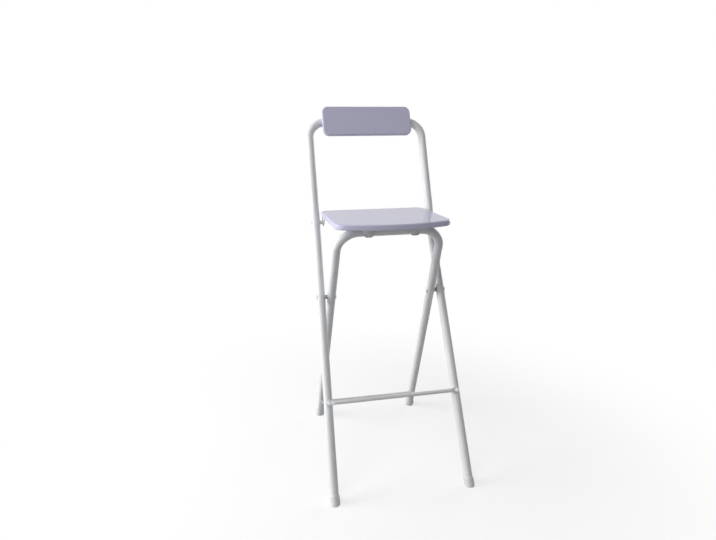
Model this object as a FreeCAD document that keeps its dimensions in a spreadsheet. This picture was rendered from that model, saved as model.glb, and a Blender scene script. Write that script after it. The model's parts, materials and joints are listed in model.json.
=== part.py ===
import FreeCAD, Part
import math
import os

import Sketcher

# A folding bar stool: an outer bent tube makes the front legs and the back, an inner bent tube
# makes the rear legs, and the two cross in a scissor pivot. The seat hinges on the outer tube at
# its rear edge and drops over the inner tube's crossbar with two hooks. Millimetres and degrees.
# The stool faces -Y, stands on Z = 0 and is symmetric about X = 0.

DRIVING_SIZES = {
    # both frames
    "tube_diameter": 22.0,
    "tube_wall": 1.2,
    "pivot_height": 454.5,
    # outer frame, measured on the tube's centre line
    "front_leg_angle": 26.5,
    "front_foot_spread": 347.0,
    "back_bend_height": 604.0,
    "back_bend_radius": 250.0,
    "back_angle": 21.2,
    "back_spread": 322.0,
    "back_top_height": 900.5,
    "back_corner_radius": 45.0,
    # inner frame, measured on the tube's centre line
    "rear_leg_angle": 25.5,
    "rear_foot_spread": 298.0,
    "crossbar_height": 638.5,
    "crossbar_spread": 262.0,
    "crossbar_corner_radius": 55.0,
    # seat board
    "seat_side_gap": 6.0,
    "seat_depth": 278.0,
    "seat_thickness": 14.0,
    "seat_overhang": 27.0,
    "seat_bow": 34.0,
    "seat_front_corner": 36.0,
    "seat_rear_corner": 20.0,
    "seat_edge_round": 3.0,
    # backrest board
    "backrest_width": 250.0,
    "backrest_height": 82.0,
    "backrest_thickness": 12.0,
    "backrest_corner": 17.0,
    "backrest_edge_round": 2.5,
    "backrest_drop": 4.0,
    "backrest_screw_spacing": 160.0,
    # seat hinge brackets
    "bracket_plate": 2.5,
    "bracket_length": 46.0,
    "bracket_depth": 24.0,
    "bracket_inset": 2.0,
    "bracket_lug": 10.0,
    "bracket_lug_angle": 35.0,
    "bracket_corner": 5.0,
    "bracket_bend": 2.0,
    "bracket_screw_spacing": 26.0,
    "hinge_drop": 14.0,
    # seat hooks over the crossbar
    "hook_pad": 2.5,
    "hook_width": 24.0,
    "hook_jaw": 5.0,
    "hook_reach": 0.5,
    "hook_tongue_corner": 8.0,
    "hook_flange": 15.0,
    "hook_flange_corner": 4.0,
    "hook_spacing": 116.0,
    "hook_rib": 5.0,
    "hook_rib_reach": 3.0,
    # footrest and rear stretcher
    "bar_diameter": 10.0,
    "bar_tab_height": 14.5,
    "bar_tab_thickness": 2.5,
    "bar_tab_length": 15.0,
    "bar_taper_length": 14.0,
    "bar_end_margin": 6.5,
    "footrest_height": 212.0,
    "stretcher_height": 68.0,
    # plastic feet
    "foot_wall": 1.6,
    "foot_flare": 0.5,
    "foot_length": 19.0,
    "foot_sole": 8.0,
    # rivets and washers of the frame pivot
    "pivot_rivet_radius": 4.0,
    "pivot_rivet_head_radius": 6.5,
    "pivot_rivet_head_height": 1.2,
    "pivot_washer_radius": 5.5,
    # rivets and spacers of the seat hinge
    "hinge_rivet_radius": 3.0,
    "hinge_rivet_head_radius": 5.0,
    "hinge_rivet_head_height": 1.2,
    "hinge_spacer_radius": 5.0,
    # rivets of the footrest and stretcher
    "bar_rivet_radius": 2.5,
    "bar_rivet_head_radius": 4.5,
    "bar_rivet_head_height": 1.2,
    # backrest screws and their inserts
    "backrest_screw_radius": 2.5,
    "backrest_screw_head_radius": 5.0,
    "backrest_screw_head_height": 2.2,
    "insert_radius": 4.0,
    "insert_length": 8.0,
    "insert_spare": 1.0,
    # wood screws of the brackets and hooks
    "wood_screw_radius": 1.9,
    "wood_screw_head_radius": 4.0,
    "wood_screw_head_height": 1.6,
    "wood_screw_length": 11.0,
    "pilot_spare": 0.5,
    # clearances
    "running_clearance": 0.06,
    "screw_clearance": 0.05,
    "seat_gap": 0.1,
    "moving_gap": 0.3,
    "foot_clearance": 0.1,
}

DERIVED_SIZES = {
    "seat_width": "=back_spread - tube_diameter - 2 * seat_side_gap",
}

doc = FreeCAD.newDocument("FoldingBarStool")
sheet = doc.addObject("Spreadsheet::Sheet", "Sizes")
for row, (alias, value) in enumerate({**DRIVING_SIZES, **DERIVED_SIZES}.items(), start=1):
    sheet.set(f"A{row}", alias)
    sheet.set(f"B{row}", str(value))
    sheet.setAlias(f"B{row}", alias)
doc.recompute()

DRILL_SHARE = 1.5  # a drill's length over the tube's diameter
GROUND_SHARE = 4  # side of the block that cuts a foot flat, over the tube's diameter
EQUAL = 1e-6

X_AXIS = FreeCAD.Vector(1, 0, 0)
Y_AXIS = FreeCAD.Vector(0, 1, 0)
Z_AXIS = FreeCAD.Vector(0, 0, 1)
nodes = []


def size(alias):
    return float(getattr(sheet, alias))


def tangent(alias):
    return math.tan(math.radians(size(alias)))


def blend(start, end, share):
    return start + (end - start) * share


def leaning(lean):
    """Unit vector up a tube that leans back from the vertical by the angle lean."""
    return FreeCAD.Vector(0, math.sin(math.radians(lean)), math.cos(math.radians(lean)))


def forward_of(lean):
    """Unit vector square to a tube that leans back by the angle lean, towards the front."""
    return FreeCAD.Vector(0, -math.cos(math.radians(lean)), math.sin(math.radians(lean)))


tube_radius = size("tube_diameter") / 2
foot_radius = tube_radius + size("foot_clearance") + size("foot_wall") + size("foot_flare")

# The pivot's place along Y puts the middle of the footprint at the origin.
front_reach = size("pivot_height") * tangent("front_leg_angle")
front_reach += foot_radius / math.cos(math.radians(size("front_leg_angle")))
rear_reach = size("pivot_height") * tangent("rear_leg_angle")
rear_reach += foot_radius / math.cos(math.radians(size("rear_leg_angle")))
pivot_y = (front_reach - rear_reach) / 2


def front_leg(height, side=1):
    """Centre line of the outer tube below its back bend."""
    spread = blend(size("front_foot_spread"), size("back_spread"), height / size("back_bend_height"))
    y = pivot_y + (height - size("pivot_height")) * tangent("front_leg_angle")
    return FreeCAD.Vector(side * spread / 2, y, height)


def back_post(height, side=1):
    """Centre line of the outer tube above its back bend."""
    y = front_leg(size("back_bend_height")).y
    y += (height - size("back_bend_height")) * tangent("back_angle")
    return FreeCAD.Vector(side * size("back_spread") / 2, y, height)


def rear_leg(height, side=1):
    """Centre line of the inner tube below its crossbar corners."""
    spread = blend(size("rear_foot_spread"), size("crossbar_spread"), height / size("crossbar_height"))
    y = pivot_y - (height - size("pivot_height")) * tangent("rear_leg_angle")
    return FreeCAD.Vector(side * spread / 2, y, height)


def splay(point_at):
    """How far a leg moves out sideways for each millimetre down."""
    return (point_at(0).x - point_at(size("pivot_height")).x) / size("pivot_height")


def unit(vector):
    length = vector.Length
    return FreeCAD.Vector(vector.x / length, vector.y / length, vector.z / length)


def bind(thing, **expressions):
    for name, expression in expressions.items():
        thing.setExpression(name, expression)
    return thing


def facing(direction, base=None):
    """Placement that turns local +Z to the given direction."""
    return FreeCAD.Placement(base or FreeCAD.Vector(), FreeCAD.Rotation(Z_AXIS, direction))


def name_node(thing, label):
    thing.Label = label
    nodes.append(thing)
    return thing


def cylinder(name, radius, height, placement):
    thing = doc.addObject("Part::Cylinder", name)
    bind(thing, Radius=radius, Height=height)
    thing.Placement = placement
    return thing


def cut(name, base, tool):
    thing = doc.addObject("Part::Cut", name)
    thing.Base = base
    thing.Tool = tool
    return thing


def group(name, things, kind="Part::Compound"):
    thing = doc.addObject(kind, name)
    if kind == "Part::Compound":
        thing.Links = things
    else:
        thing.Shapes = things
    return thing


def hole_for(pin, clearance="screw_clearance"):
    """Radius of the hole that a screw or rivet passes through."""
    return f"Sizes.{pin}_radius + Sizes.{clearance}"


def mirrored(name, source):
    thing = doc.addObject("Part::Mirroring", name)
    thing.Source = source
    thing.Normal = X_AXIS
    return thing


# Bent tubes

def bent_wire(corners, radii):
    """Straight runs through the corners, joined by tangent arcs of the given radii."""
    edges = []
    start = corners[0]
    for index, radius in enumerate(radii, start=1):
        corner = corners[index]
        back = unit(corners[index - 1] - corner)
        ahead = unit(corners[index + 1] - corner)
        half_turn = (math.pi - back.getAngle(ahead)) / 2
        reach = radius * math.tan(half_turn)
        arc_start = corner + back * reach
        arc_end = corner + ahead * reach
        inward = unit(back + ahead)
        arc_middle = corner + inward * (radius / math.cos(half_turn) - radius)
        edges.append(Part.LineSegment(start, arc_start).toShape())
        edges.append(Part.Arc(arc_start, arc_middle, arc_end).toShape())
        start = arc_end
    edges.append(Part.LineSegment(start, corners[-1]).toShape())
    return Part.Wire(edges)


def swept_round(name, path, radius):
    """A solid round bar along a path, its radius bound to the sheet."""
    start = path.Shape.Edges[0]
    section = doc.addObject("Part::Circle", name + "_section")
    bind(section, Radius=radius)
    section.Placement = facing(start.tangentAt(start.FirstParameter), start.valueAt(start.FirstParameter))
    sweep = doc.addObject("Part::Sweep", name)
    sweep.Sections = [section]
    sweep.Spine = (path, [f"Edge{i + 1}" for i in range(len(path.Shape.Edges))])
    sweep.Solid = True
    sweep.Frenet = False
    return sweep


def bent_tube(label, corners, radii, holes):
    """A tube with open ends along the rounded path, drilled by the given cylinders."""
    path = doc.addObject("Part::Feature", label + "_path")
    path.Shape = bent_wire(corners, radii)
    skin = swept_round(label + "_skin", path, "Sizes.tube_diameter / 2")
    bore = swept_round(label + "_bore", path, "Sizes.tube_diameter / 2 - Sizes.tube_wall")
    hollow = cut(label + "_hollow", skin, bore)
    drills = group(label + "_drills", holes, "Part::MultiFuse")
    return name_node(cut(label + "_drilled", hollow, drills), label)


def cross_hole(name, radius, point, direction):
    """A drill through both walls of the tube whose centre line holds the point."""
    length = size("tube_diameter") * DRILL_SHARE
    return cylinder(name, radius, str(length), facing(direction, point - direction * (length / 2)))


def raised(point_at, side):
    """The tube's end above the sole of its plastic foot."""
    floor = point_at(0, side)
    up = unit(point_at(size("pivot_height"), side) - floor)
    return floor + up * size("foot_sole")


seat_underside = size("crossbar_height") + tube_radius + size("moving_gap") + size("hook_pad")
hinge_height = seat_underside - size("hinge_drop")
hinge_point = back_post(hinge_height)
top_bar = FreeCAD.Vector(0, back_post(size("back_top_height")).y, size("back_top_height"))
backrest_screw_x = size("backrest_screw_spacing") / 2


def outer_frame():
    corners = [
        raised(front_leg, 1),
        back_post(size("back_bend_height")),
        back_post(size("back_top_height")),
        back_post(size("back_top_height"), -1),
        back_post(size("back_bend_height"), -1),
        raised(front_leg, -1),
    ]
    radii = [size("back_bend_radius"), size("back_corner_radius")]
    radii += radii[::-1]
    holes = []
    for side, word in ((1, "right"), (-1, "left")):
        pivot = front_leg(size("pivot_height"), side)
        hinge = back_post(hinge_height, side)
        rest = front_leg(size("footrest_height"), side)
        board = top_bar + X_AXIS * (side * backrest_screw_x)
        ahead = forward_of(size("front_leg_angle"))
        back_ahead = forward_of(size("back_angle"))
        holes += [
            cross_hole(f"pivot_hole_{word}", hole_for("pivot_rivet"), pivot, X_AXIS),
            cross_hole(f"hinge_hole_{word}", hole_for("hinge_rivet"), hinge, X_AXIS),
            cross_hole(f"footrest_hole_{word}", hole_for("bar_rivet"), rest, ahead),
            cross_hole(f"backrest_hole_{word}", hole_for("backrest_screw"), board, back_ahead),
        ]
    bent_tube("outer_frame", corners, radii, holes)


def inner_frame():
    corners = [
        raised(rear_leg, 1),
        rear_leg(size("crossbar_height")),
        rear_leg(size("crossbar_height"), -1),
        raised(rear_leg, -1),
    ]
    radii = [size("crossbar_corner_radius")] * 2
    holes = []
    for side, word in ((1, "right"), (-1, "left")):
        pivot = rear_leg(size("pivot_height"), side)
        end = rear_leg(size("stretcher_height"), side)
        ahead = forward_of(-size("rear_leg_angle"))
        running = hole_for("pivot_rivet", "running_clearance")
        holes += [
            cross_hole(f"inner_pivot_hole_{word}", running, pivot, X_AXIS),
            cross_hole(f"stretcher_hole_{word}", hole_for("bar_rivet"), end, ahead),
        ]
    bent_tube("inner_frame", corners, radii, holes)


# Plastic feet

def plane_of(body, role):
    return next(item for item in body.Origin.OriginFeatures if item.Role == role)


def new_sketch(body, name, role, offset=0.0):
    sketch = body.newObject("Sketcher::SketchObject", name)
    sketch.AttachmentSupport = (plane_of(body, role), [""])
    sketch.MapMode = "FlatFace"
    sketch.AttachmentOffset = FreeCAD.Placement(FreeCAD.Vector(0, 0, offset), FreeCAD.Rotation())
    return sketch


def outline(sketch, points):
    """Close a chain of straight lines through the points."""
    count = len(points)
    for index, (x, y) in enumerate(points):
        following = points[(index + 1) % count]
        line = Part.LineSegment(FreeCAD.Vector(x, y, 0), FreeCAD.Vector(*following, 0))
        sketch.addGeometry(line, False)
    for index in range(count):
        sketch.addConstraint(Sketcher.Constraint("Coincident", index, 2, (index + 1) % count, 1))


def foot(label, point_at, side):
    """A cup on the tube's end, cut flat where it stands on the floor."""
    floor = point_at(0, side)
    up = unit(point_at(size("pivot_height"), side) - floor)
    cup = doc.addObject("Part::Cone", label + "_cup")
    bind(
        cup,
        Radius1="Sizes.tube_diameter / 2 + Sizes.foot_clearance + Sizes.foot_wall + Sizes.foot_flare",
        Radius2="Sizes.tube_diameter / 2 + Sizes.foot_clearance + Sizes.foot_wall",
        Height="Sizes.foot_length + Sizes.foot_sole",
    )
    cup.Placement = facing(up, floor - up * size("foot_sole"))
    bore = cylinder(
        label + "_bore", "Sizes.tube_diameter / 2 + Sizes.foot_clearance", "Sizes.foot_length",
        facing(up, floor + up * size("foot_sole")),
    )
    side_length = size("tube_diameter") * GROUND_SHARE
    ground = doc.addObject("Part::Box", label + "_ground")
    bind(ground, Length=str(side_length), Width=str(side_length), Height=str(side_length))
    ground.Placement.Base = floor - FreeCAD.Vector(side_length / 2, side_length / 2, side_length)
    hollow = cut(label + "_hollow", cup, bore)
    name_node(cut(label + "_flat", hollow, ground), label)


# Boards

def edges_along(feature, axis, test):
    """Names of the straight edges along the axis whose end passes the test."""
    names = []
    for index, edge in enumerate(feature.Shape.Edges, start=1):
        if not isinstance(edge.Curve, Part.Line):
            continue
        end = edge.Vertexes[0].Point
        parallel = edge.Curve.Direction.cross(axis).Length < EQUAL
        if parallel and test(end):
            names.append(f"Edge{index}")
    return names


def rim_edges(feature, height):
    """Names of the edges of the flat face at the given height."""
    names = []
    for index, edge in enumerate(feature.Shape.Edges, start=1):
        if all(abs(vertex.Point.z - height) < EQUAL for vertex in edge.Vertexes):
            names.append(f"Edge{index}")
    return names


def fillet(body, name, feature, edges, radius):
    rounding = body.newObject("PartDesign::Fillet", name)
    rounding.Base = (feature, edges)
    bind(rounding, Radius=radius)
    doc.recompute()
    return rounding


def pad(body, sketch, name, length, reverse=False):
    feature = body.newObject("PartDesign::Pad", name)
    feature.Profile = sketch
    bind(feature, Length=length)
    feature.Reversed = reverse
    doc.recompute()
    return feature


def drilled_through(body, name, role, centres, radius):
    """Round holes through the whole body, square to one of its origin planes."""
    sketch = new_sketch(body, name + "_sketch", role)
    for index, (x, y) in enumerate(centres):
        sketch.addGeometry(Part.Circle(FreeCAD.Vector(x, y, 0), Z_AXIS, 1.0), False)
        constraint = sketch.addConstraint(Sketcher.Constraint("Radius", index, 1.0))
        sketch.setExpression(f"Constraints[{constraint}]", radius)
    hole = body.newObject("PartDesign::Pocket", name)
    hole.Profile = sketch
    hole.Type = "ThroughAll"
    hole.Midplane = True
    doc.recompute()
    return hole


def seat_board():
    """The seat's own Y = 0 is its hinge axis and its own Z = 0 is its underside."""
    body = doc.addObject("PartDesign::Body", "seat_board_body")
    half = size("seat_width") / 2
    rear = size("seat_overhang")
    middle_front = rear - size("seat_depth")
    corner_front = middle_front + size("seat_bow")
    sketch = new_sketch(body, "seat_outline", "XY_Plane")
    rear_left, rear_right = FreeCAD.Vector(-half, rear, 0), FreeCAD.Vector(half, rear, 0)
    front_left, front_right = FreeCAD.Vector(-half, corner_front, 0), FreeCAD.Vector(half, corner_front, 0)
    sketch.addGeometry(Part.LineSegment(rear_left, rear_right))
    sketch.addGeometry(Part.LineSegment(rear_right, front_right))
    sketch.addGeometry(Part.LineSegment(front_left, rear_left))
    sketch.addGeometry(Part.Arc(front_left, FreeCAD.Vector(0, middle_front, 0), front_right))
    rule = Sketcher.Constraint
    sketch.addConstraint([
        rule("Vertical", 1),
        rule("Coincident", 0, 2, 1, 1),
        rule("Coincident", 0, 1, 2, 2),
        rule("Coincident", 3, 1, 2, 1),
        rule("Coincident", 3, 2, 1, 2),
        rule("Symmetric", 0, 1, 0, 2, -2),
        rule("Symmetric", 2, 1, 1, 2, -2),
    ])
    sizes = {
        "width": (rule("DistanceX", 0, 1, 0, 2, 2 * half), "Sizes.seat_width"),
        "overhang": (rule("DistanceY", -1, 1, 0, 1, rear), "Sizes.seat_overhang"),
        "side": (rule("DistanceY", 2, 1, 2, 2, rear - corner_front), "Sizes.seat_depth - Sizes.seat_bow"),
        "front_radius": (
            rule("Radius", 3, (half * half + size("seat_bow") ** 2) / (2 * size("seat_bow"))),
            "(Sizes.seat_width ^ 2 / 4 + Sizes.seat_bow ^ 2) / (2 * Sizes.seat_bow)",
        ),
    }
    for name, (constraint, expression) in sizes.items():
        index = sketch.addConstraint(constraint)
        sketch.renameConstraint(index, name)
        sketch.setExpression(f"Constraints.{name}", expression)
    board = pad(body, sketch, "seat_pad", "Sizes.seat_thickness")
    front_edges = edges_along(board, Z_AXIS, lambda point: point.y < 0)
    board = fillet(body, "seat_front_corners", board, front_edges, "Sizes.seat_front_corner")
    rear_edges = edges_along(board, Z_AXIS, lambda point: abs(point.y - rear) < EQUAL)
    board = fillet(body, "seat_rear_corners", board, rear_edges, "Sizes.seat_rear_corner")
    rims = rim_edges(board, 0) + rim_edges(board, size("seat_thickness"))
    board = fillet(body, "seat_edges", board, rims, "Sizes.seat_edge_round")
    blind_holes(body, "seat_screw_holes", seat_screw_places())
    body.Placement.Base = FreeCAD.Vector(0, hinge_point.y, seat_underside)
    name_node(body, "seat_board")


def blind_holes(body, name, centres):
    """Pilot holes for the wood screws, from the underside up."""
    sketch = new_sketch(body, name + "_sketch", "XY_Plane")
    for index, (x, y) in enumerate(centres):
        sketch.addGeometry(Part.Circle(FreeCAD.Vector(x, y, 0), Z_AXIS, 1.0), False)
        constraint = sketch.addConstraint(Sketcher.Constraint("Radius", index, 1.0))
        sketch.setExpression(f"Constraints[{constraint}]", hole_for("wood_screw"))
    hole = body.newObject("PartDesign::Pocket", name)
    hole.Profile = sketch
    plate = "min(Sizes.bracket_plate; Sizes.hook_pad)"
    bind(hole, Length=f"Sizes.wood_screw_length - {plate} + Sizes.pilot_spare")
    hole.Reversed = True
    doc.recompute()


bracket_x = size("seat_width") / 2 - size("bracket_inset")
hook_y = rear_leg(size("crossbar_height")).y - hinge_point.y


def bracket_screw_places():
    """Screw centres of both brackets, from the middle of the hinge axis."""
    x = bracket_x - size("bracket_plate") - (size("bracket_depth") - size("bracket_plate")) / 2
    half = size("bracket_screw_spacing") / 2
    return [(side * x, y) for side in (1, -1) for y in (-half, half)]


def hook_screw_places():
    """Screw centres of both hooks, from the middle of the hinge axis."""
    front = hook_y - tube_radius - size("moving_gap") - size("hook_jaw") - size("hook_flange") / 2
    back = hook_y + tube_radius + size("hook_flange") / 2
    half = size("hook_spacing") / 2
    return [(side * half, y) for side in (1, -1) for y in (front, back)]


def seat_screw_places():
    return bracket_screw_places() + hook_screw_places()


def backrest_board():
    """The board's own Z = 0 is its rear face and its own Y runs up the back."""
    body = doc.addObject("PartDesign::Body", "backrest_board_body")
    sketch = new_sketch(body, "backrest_outline", "XY_Plane")
    half_width = size("backrest_width") / 2
    half_height = size("backrest_height") / 2
    outline(sketch, [
        (-half_width, -half_height), (half_width, -half_height),
        (half_width, half_height), (-half_width, half_height),
    ])
    rule = Sketcher.Constraint
    sketch.addConstraint([
        rule("Horizontal", 0),
        rule("Vertical", 1),
        rule("Horizontal", 2),
        rule("Vertical", 3),
        rule("Symmetric", 0, 1, 2, 1, -1, 1),
    ])
    sizes = {
        "width": (rule("DistanceX", 0, 1, 0, 2, 2 * half_width), "Sizes.backrest_width"),
        "height": (rule("DistanceY", 1, 1, 1, 2, 2 * half_height), "Sizes.backrest_height"),
    }
    for name, (constraint, expression) in sizes.items():
        index = sketch.addConstraint(constraint)
        sketch.renameConstraint(index, name)
        sketch.setExpression(f"Constraints.{name}", expression)
    board = pad(body, sketch, "backrest_pad", "Sizes.backrest_thickness")
    upright_edges = edges_along(board, Z_AXIS, lambda point: True)
    board = fillet(body, "backrest_corners", board, upright_edges, "Sizes.backrest_corner")
    rims = rim_edges(board, 0) + rim_edges(board, size("backrest_thickness"))
    fillet(body, "backrest_edges", board, rims, "Sizes.backrest_edge_round")
    sketch = new_sketch(body, "insert_holes_sketch", "XY_Plane")
    for index, side in enumerate((1, -1)):
        centre = FreeCAD.Vector(side * backrest_screw_x, size("backrest_drop"), 0)
        sketch.addGeometry(Part.Circle(centre, Z_AXIS, 1.0), False)
        constraint = sketch.addConstraint(rule("Radius", index, 1.0))
        sketch.setExpression(f"Constraints[{constraint}]", "Sizes.insert_radius")
    hole = body.newObject("PartDesign::Pocket", "insert_holes")
    hole.Profile = sketch
    bind(hole, Length="Sizes.insert_length")
    hole.Reversed = True
    doc.recompute()
    lean = size("back_angle")
    base = top_bar + forward_of(lean) * (tube_radius + size("seat_gap"))
    base -= leaning(lean) * size("backrest_drop")
    body.Placement = FreeCAD.Placement(base, FreeCAD.Rotation(X_AXIS, 90 - lean))
    name_node(body, "backrest_board")


# Seat hinge brackets and hooks

def seat_bracket(side, label):
    """An angle plate under the seat's rear corner; its own origin is the hinge axis."""
    body = doc.addObject("PartDesign::Body", label + "_body")
    top = size("hinge_drop")
    plate = size("bracket_plate")
    half = size("bracket_length") / 2
    lug = size("bracket_lug")
    # upright flange: a rounded lug round the hinge rivet, widening to the full length at the seat
    sketch = new_sketch(body, label + "_lug", "YZ_Plane")
    slope = math.radians(size("bracket_lug_angle"))
    right_foot = FreeCAD.Vector(lug * math.cos(slope), -lug * math.sin(slope), 0)
    left_foot = FreeCAD.Vector(-right_foot.x, right_foot.y, 0)
    bottom = FreeCAD.Vector(0, -lug, 0)
    sketch.addGeometry(Part.Arc(left_foot, bottom, right_foot))
    corners = [
        right_foot,
        FreeCAD.Vector(half, top - plate * 2, 0),
        FreeCAD.Vector(half, top, 0),
        FreeCAD.Vector(-half, top, 0),
        FreeCAD.Vector(-half, top - plate * 2, 0),
        left_foot,
    ]
    for start, end in zip(corners, corners[1:]):
        sketch.addGeometry(Part.LineSegment(start, end))
    last = len(corners) - 1
    for index in range(1, last):
        sketch.addConstraint(Sketcher.Constraint("Coincident", index, 2, index + 1, 1))
    sketch.addConstraint(Sketcher.Constraint("Coincident", 0, 2, 1, 1))
    sketch.addConstraint(Sketcher.Constraint("Coincident", last, 2, 0, 1))
    upright = pad(body, sketch, label + "_upright", "Sizes.bracket_plate", reverse=True)
    # flat flange against the seat's underside
    sketch = new_sketch(body, label + "_flange", "XY_Plane", top)
    outline(sketch, [
        (0, -half), (0, half), (-size("bracket_depth"), half), (-size("bracket_depth"), -half),
    ])
    flange = pad(body, sketch, label + "_flat", "Sizes.bracket_plate", reverse=True)
    bend_edge = edges_along(flange, Y_AXIS, lambda point: point.Length > half and abs(point.x) < EQUAL)
    bent = fillet(body, label + "_bend", flange, bend_edge, "Sizes.bracket_bend")
    corner_edges = edges_along(bent, Z_AXIS, lambda point: abs(point.x + size("bracket_depth")) < EQUAL)
    fillet(body, label + "_corners", bent, corner_edges, "Sizes.bracket_corner")
    running = hole_for("hinge_rivet", "running_clearance")
    drilled_through(body, label + "_hinge_hole", "YZ_Plane", [(0, 0)], running)
    places = [(x - bracket_x, y) for x, y in bracket_screw_places() if x > 0]
    drilled_through(body, label + "_screw_holes", "XY_Plane", places, hole_for("wood_screw"))
    body.Placement.Base = FreeCAD.Vector(bracket_x, hinge_point.y, hinge_height)
    if side > 0:
        return name_node(body, label)
    return name_node(mirrored(label + "_mirror", body), label)


def seat_hook(side, label):
    """A moulded hook that drops over the crossbar; its own origin is the crossbar's axis."""
    body = doc.addObject("PartDesign::Body", label + "_body")
    gap = size("moving_gap")
    saddle = tube_radius + gap
    top = saddle + size("hook_pad")
    jaw = -(saddle + size("hook_jaw"))
    bottom = -(tube_radius + size("hook_reach"))
    flange = size("hook_flange")
    sketch = new_sketch(body, label + "_profile", "YZ_Plane")
    outline(sketch, [
        (jaw - flange, top), (jaw - flange, saddle), (jaw, saddle), (jaw, bottom),
        (-saddle, bottom), (-saddle, 0), (0, 0), (0, saddle),
        (tube_radius + flange, saddle), (tube_radius + flange, top),
    ])
    block = body.newObject("PartDesign::Pad", label + "_block")
    block.Profile = sketch
    bind(block, Length="Sizes.hook_width")
    block.Midplane = True
    doc.recompute()
    tongue_edges = edges_along(block, Y_AXIS, lambda point: abs(point.z - bottom) < EQUAL)
    tongue = fillet(body, label + "_tongue", block, tongue_edges, "Sizes.hook_tongue_corner")
    ends = (jaw - flange, tube_radius + flange)
    flange_edges = edges_along(
        tongue, Z_AXIS, lambda point: any(abs(point.y - end) < EQUAL for end in ends),
    )
    fillet(body, label + "_flanges", tongue, flange_edges, "Sizes.hook_flange_corner")
    # the saddle that the crossbar lies in
    sketch = new_sketch(body, label + "_saddle_sketch", "YZ_Plane")
    sketch.addGeometry(Part.Circle(FreeCAD.Vector(0, 0, 0), Z_AXIS, saddle), False)
    constraint = sketch.addConstraint(Sketcher.Constraint("Radius", 0, saddle))
    sketch.setExpression(f"Constraints[{constraint}]", "Sizes.tube_diameter / 2 + Sizes.moving_gap")
    hollow = body.newObject("PartDesign::Pocket", label + "_saddle")
    hollow.Profile = sketch
    hollow.Type = "ThroughAll"
    hollow.Midplane = True
    doc.recompute()
    # the stiffening rib in front of the jaw
    sketch = new_sketch(body, label + "_rib_sketch", "YZ_Plane")
    inside = jaw + size("hook_jaw") / 2
    outline(sketch, [
        (jaw - size("hook_rib_reach"), saddle), (jaw, -tube_radius), (inside, -tube_radius), (inside, saddle),
    ])
    rib = body.newObject("PartDesign::Pad", label + "_rib")
    rib.Profile = sketch
    bind(rib, Length="Sizes.hook_rib")
    rib.Midplane = True
    doc.recompute()
    places = [(0, y - hook_y) for x, y in hook_screw_places() if x > 0]
    drilled_through(body, label + "_screw_holes", "XY_Plane", places, hole_for("wood_screw"))
    crossbar = rear_leg(size("crossbar_height"))
    body.Placement.Base = FreeCAD.Vector(side * size("hook_spacing") / 2, crossbar.y, crossbar.z)
    return name_node(body, label)


# Footrest and stretcher

def section_round(x, radius):
    """A circle of four arcs, square to X."""
    points = []
    for quarter in range(8):
        angle = math.radians(45 * quarter - 45)
        points.append(FreeCAD.Vector(x, radius * math.cos(angle), radius * math.sin(angle)))
    arcs = [Part.Arc(points[i], points[i + 1], points[(i + 2) % 8]).toShape() for i in (0, 2, 4, 6)]
    return Part.Wire(arcs)


def section_flat(x, height, thickness):
    """A flattened round of two straight sides and two arcs, square to X."""
    straight = (height - thickness) / 2
    half = thickness / 2
    corner = [
        FreeCAD.Vector(x, half, -straight), FreeCAD.Vector(x, half, straight),
        FreeCAD.Vector(x, -half, straight), FreeCAD.Vector(x, -half, -straight),
    ]
    top = FreeCAD.Vector(x, 0, height / 2)
    bottom = FreeCAD.Vector(x, 0, -height / 2)
    return Part.Wire([
        Part.LineSegment(corner[0], corner[1]).toShape(),
        Part.Arc(corner[1], top, corner[2]).toShape(),
        Part.LineSegment(corner[2], corner[3]).toShape(),
        Part.Arc(corner[3], bottom, corner[0]).toShape(),
    ])


def flattened_bar(label, point_at, height, lean):
    """A straight bar whose flattened ends lap on the front of the two legs."""
    leg = point_at(height)
    end = leg.x + size("bar_end_margin")
    tab_start = end - size("bar_tab_length")
    round_end = tab_start - size("bar_taper_length")
    radius = size("bar_diameter") / 2
    thickness = size("bar_tab_thickness")
    hole_radius = size("bar_rivet_radius") + size("screw_clearance")
    shape = Part.makeCylinder(radius, 2 * round_end, FreeCAD.Vector(-round_end, 0, 0), X_AXIS)
    for side in (1, -1):
        round_section = section_round(side * round_end, radius)
        flat_section = section_flat(side * tab_start, size("bar_tab_height"), thickness)
        taper = Part.makeLoft([round_section, flat_section], True, True)
        flat = Part.Face(flat_section).extrude(X_AXIS * (side * size("bar_tab_length")))
        shape = shape.fuse([taper, flat])
        hole_start = FreeCAD.Vector(side * leg.x, -thickness, 0)
        shape = shape.cut(Part.makeCylinder(hole_radius, 2 * thickness, hole_start, Y_AXIS))
    bar = doc.addObject("Part::Feature", label + "_bar")
    bar.Shape = shape.removeSplitter()
    ahead = forward_of(lean)
    offset = tube_radius + size("seat_gap") + size("bar_tab_thickness") / 2
    centre = FreeCAD.Vector(0, leg.y, leg.z) + ahead * offset
    bar.Placement = FreeCAD.Placement(centre, FreeCAD.Rotation(X_AXIS, -lean))
    return name_node(bar, label)


# Fasteners

def dome(name, prefix, placement):
    """A low round head: the cap of a sphere, its flat side on the placement's origin."""
    radius = f"Sizes.{prefix}_head_radius"
    height = f"Sizes.{prefix}_head_height"
    sphere_radius = f"({radius} ^ 2 + {height} ^ 2) / (2 * {height})"
    cap = doc.addObject("Part::Sphere", name)
    bind(cap, Radius=sphere_radius, Angle1=f"asin(1 - {height} / ({sphere_radius}))")
    doc.recompute()
    drop = size(f"{prefix}_head_height") - cap.Radius.Value
    cap.Placement = placement.multiply(FreeCAD.Placement(Z_AXIS * drop, FreeCAD.Rotation()))
    return cap


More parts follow.
